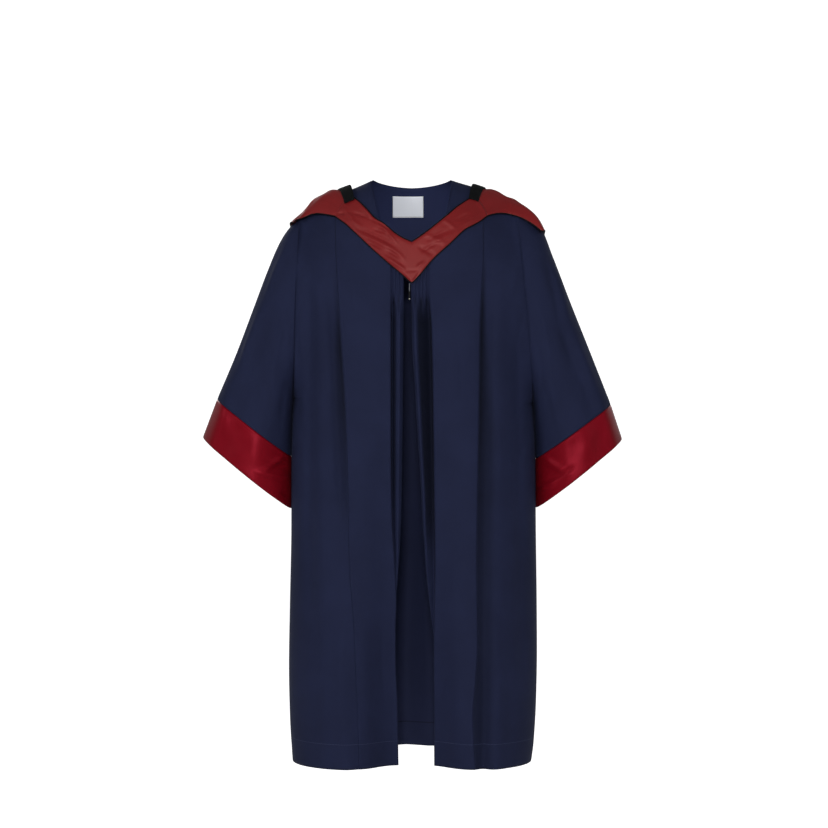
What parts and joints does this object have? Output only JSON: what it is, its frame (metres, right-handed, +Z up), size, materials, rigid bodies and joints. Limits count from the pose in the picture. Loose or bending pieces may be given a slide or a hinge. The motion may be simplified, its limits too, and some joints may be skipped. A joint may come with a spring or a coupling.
{
  "type": "graduation gown",
  "caption": "Open-fronted graduation gown with wide bell sleeves, satin cuffs, gathered fronts beside flat bands, and a satin V hood over the shoulders, in its worn shape and empty.",
  "frame": {"origin": "midway between the two neck points, where the shoulder seams meet the neckline", "axes": "+Z up from hem to neck, the front faces -Y, +X to the wearer's left"},
  "size_m": [0.8631, 0.3374, 1.1902],
  "materials": {
    "navy_cloth": "fine matt weave",
    "hood_satin": "soft satin",
    "cuff_satin": "bright satin",
    "black_velvet": "velvet",
    "dark_piping": "matt",
    "label_cloth": "smooth woven",
    "bright_metal": "polished",
    "pale_cord": "matt cord"
  },
  "bodies": {
    "root": {"back_panel": "navy_cloth", "front_right": "navy_cloth", "front_left": "navy_cloth", "facing_right": "navy_cloth", "facing_left": "navy_cloth", "sleeve_right": "navy_cloth", "sleeve_left": "navy_cloth", "cuff_right": "cuff_satin", "cuff_left": "cuff_satin", "strap_right": "black_velvet", "strap_left": "black_velvet", "hood_front": "hood_satin", "hood_back": "hood_satin", "hood_piping_inner": "dark_piping", "hood_piping_outer": "dark_piping", "neck_label": "label_cloth", "fastening_loop": "pale_cord", "fastening_clasp": "dark_piping", "fastening_bead": "bright_metal"}
  },
  "joints": []
}
